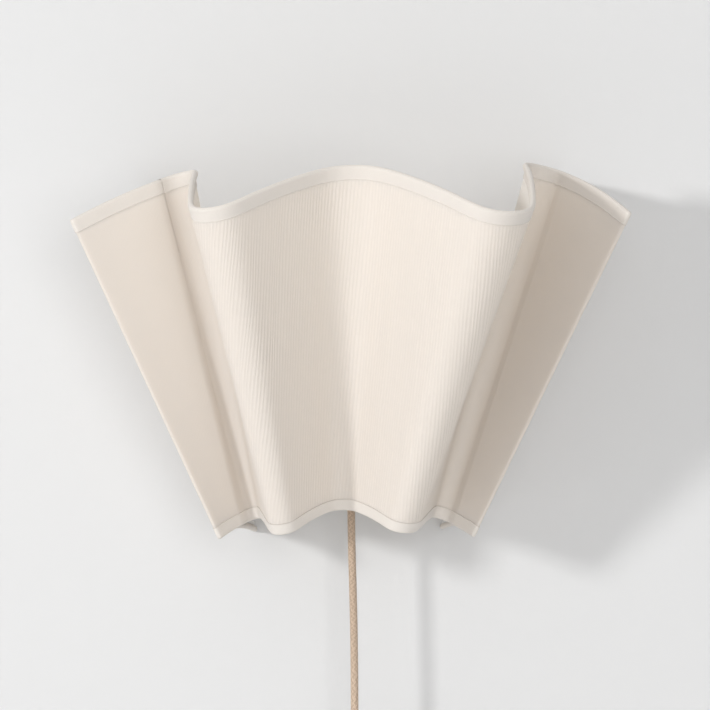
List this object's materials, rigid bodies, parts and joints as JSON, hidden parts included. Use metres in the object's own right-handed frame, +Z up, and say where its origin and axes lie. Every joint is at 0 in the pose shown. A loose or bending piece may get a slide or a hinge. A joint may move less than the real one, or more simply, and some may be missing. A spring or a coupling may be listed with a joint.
{
  "type": "fabric shade wall light",
  "caption": "Wall light with a waved, flared fabric shade hiding an upright lampholder; a textile lead hangs below to a rocker switch, a tied coil and a plug.",
  "frame": {"origin": "centre of the wall plate's back face, on the wall", "axes": "+Y into the wall, so the room is towards -Y; +Z up; +X to the right as seen from the room"},
  "size_m": [0.4497, 0.305, 0.7131],
  "materials": {
    "shade_cloth": "undyed ribbed cotton-linen cloth bonded to a stiff translucent film",
    "hem_tape": "plain cotton tape turned over the rim",
    "white_wire": "white powder-coated steel wire",
    "white_steel": "white powder-coated sheet steel",
    "rivet_metal": "white painted rivet heads",
    "nipple_brass": "turned brass",
    "zinc": "bright zinc-plated steel",
    "white_plastic": "moulded plastic with a soft sheen",
    "core_ceramic": "glazed lamp core",
    "contact_brass": "stamped brass",
    "lamp_screw_metal": "nickel-plated lamp cap",
    "lamp_plastic": "moulded lamp body",
    "lamp_glass": "frosted white glass",
    "cord_textile": "braided textile sleeve over a round two-core lead",
    "conductor_plastic": "insulated core",
    "tie_rubber": "soft strap",
    "pin_metal": "nickel-plated pins with insulated roots"
  },
  "bodies": {
    "light": {"shade_fabric": "shade_cloth", "top_hem": "hem_tape", "bottom_hem": "hem_tape", "top_rim_wire": "white_wire", "spider": "white_wire", "wall_plate": "white_steel", "bracket": "white_steel", "bracket_rivets": "rivet_metal", "holder_nipple": "nipple_brass", "nipple_washer": "zinc", "nipple_nut": "zinc", "holder_cap": "white_plastic", "holder_shell": "white_plastic", "clamping_ring": "white_plastic", "holder_core": "core_ceramic", "terminal_screws": "zinc", "screw_shell": "contact_brass", "centre_contact": "contact_brass", "lamp_cap": "lamp_screw_metal", "lamp_body": "lamp_plastic", "lamp_globe": "lamp_glass", "cord_grip": "white_plastic", "cord_inlet": "cord_textile", "conductors": "conductor_plastic", "cord_lead": "cord_textile", "switch_front": "white_plastic", "switch_back": "white_plastic", "switch_screws": "zinc", "switch_terminals": "contact_brass", "cord_link": "cord_textile", "cord_coil": "cord_textile", "coil_tie": "tie_rubber", "cord_tail": "cord_textile", "plug_body": "white_plastic", "plug_pins": "pin_metal"},
    "switch_rocker": {"rocker": "white_plastic", "rocker_pin": "zinc"}
  },
  "joints": [
    {"name": "rocker_press", "type": "hinge", "parent": "light", "child": "switch_rocker", "pos_m": [0.0026, -0.066, -0.2714], "axis": [-1, 0, 0], "range_deg": [0, 16]}
  ]
}
